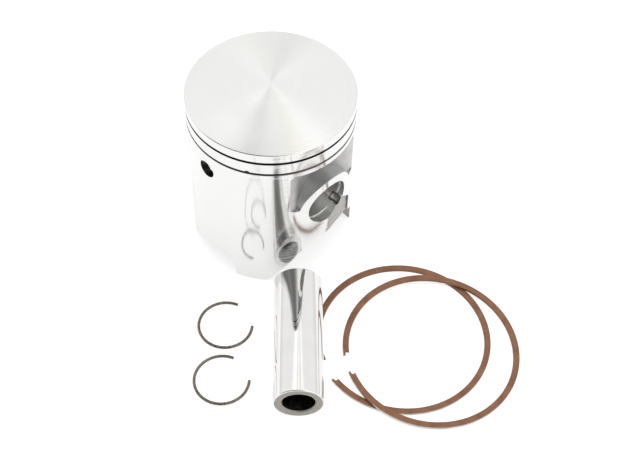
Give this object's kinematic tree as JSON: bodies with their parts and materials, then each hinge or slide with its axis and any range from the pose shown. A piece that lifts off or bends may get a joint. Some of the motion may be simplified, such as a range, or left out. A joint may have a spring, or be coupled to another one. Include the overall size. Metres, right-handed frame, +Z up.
{
  "type": "two-stroke piston kit",
  "caption": "Domed forged two-stroke piston standing on its skirt, with its loose rings, wrist pin and wire circlips laid out beside it.",
  "frame": {"origin": "middle of the laid-out kit, on the surface it stands on", "axes": "+Z up along the piston axis, +X along the wrist-pin bore towards the side where the rings lie, -Y towards the side of the skirt with the round hole"},
  "size_m": [0.1652, 0.1186, 0.0835],
  "materials": {
    "machined_aluminium": "turned crown, polished skirt, matte forged recesses",
    "ground_steel": "ground and polished, matte end faces",
    "phosphated_iron": "brown phosphate on the flanks, bright plated running face",
    "spring_steel": "oil-blackened drawn wire",
    "plain_steel": "drawn pin stock"
  },
  "bodies": {
    "piston_body": {"piston": "machined_aluminium", "top_ring_locating_pin": "plain_steel", "second_ring_locating_pin": "plain_steel"},
    "wrist_pin_body": {"wrist_pin": "ground_steel"},
    "second_ring_body": {"second_ring": "phosphated_iron"},
    "top_ring_body": {"top_ring": "phosphated_iron"},
    "rear_circlip_body": {"rear_circlip": "spring_steel"},
    "front_circlip_body": {"front_circlip": "spring_steel"}
  },
  "joints": [
    {"name": "wrist_pin_lift", "type": "slide", "parent": "piston_body", "child": "wrist_pin_body", "axis": [0, 0, 1], "range_m": [0, 0.1]},
    {"name": "second_ring_lift", "type": "slide", "parent": "piston_body", "child": "second_ring_body", "axis": [0.4872, 0.5125, 0.7071], "range_m": [0, 0.08]},
    {"name": "top_ring_lift", "type": "slide", "parent": "second_ring_body", "child": "top_ring_body", "axis": [0, 0, 1], "range_m": [0, 0.06]},
    {"name": "rear_circlip_lift", "type": "slide", "parent": "piston_body", "child": "rear_circlip_body", "axis": [0, 0, 1], "range_m": [0, 0.08]},
    {"name": "front_circlip_lift", "type": "slide", "parent": "piston_body", "child": "front_circlip_body", "axis": [0, 0, 1], "range_m": [0, 0.08]}
  ]
}
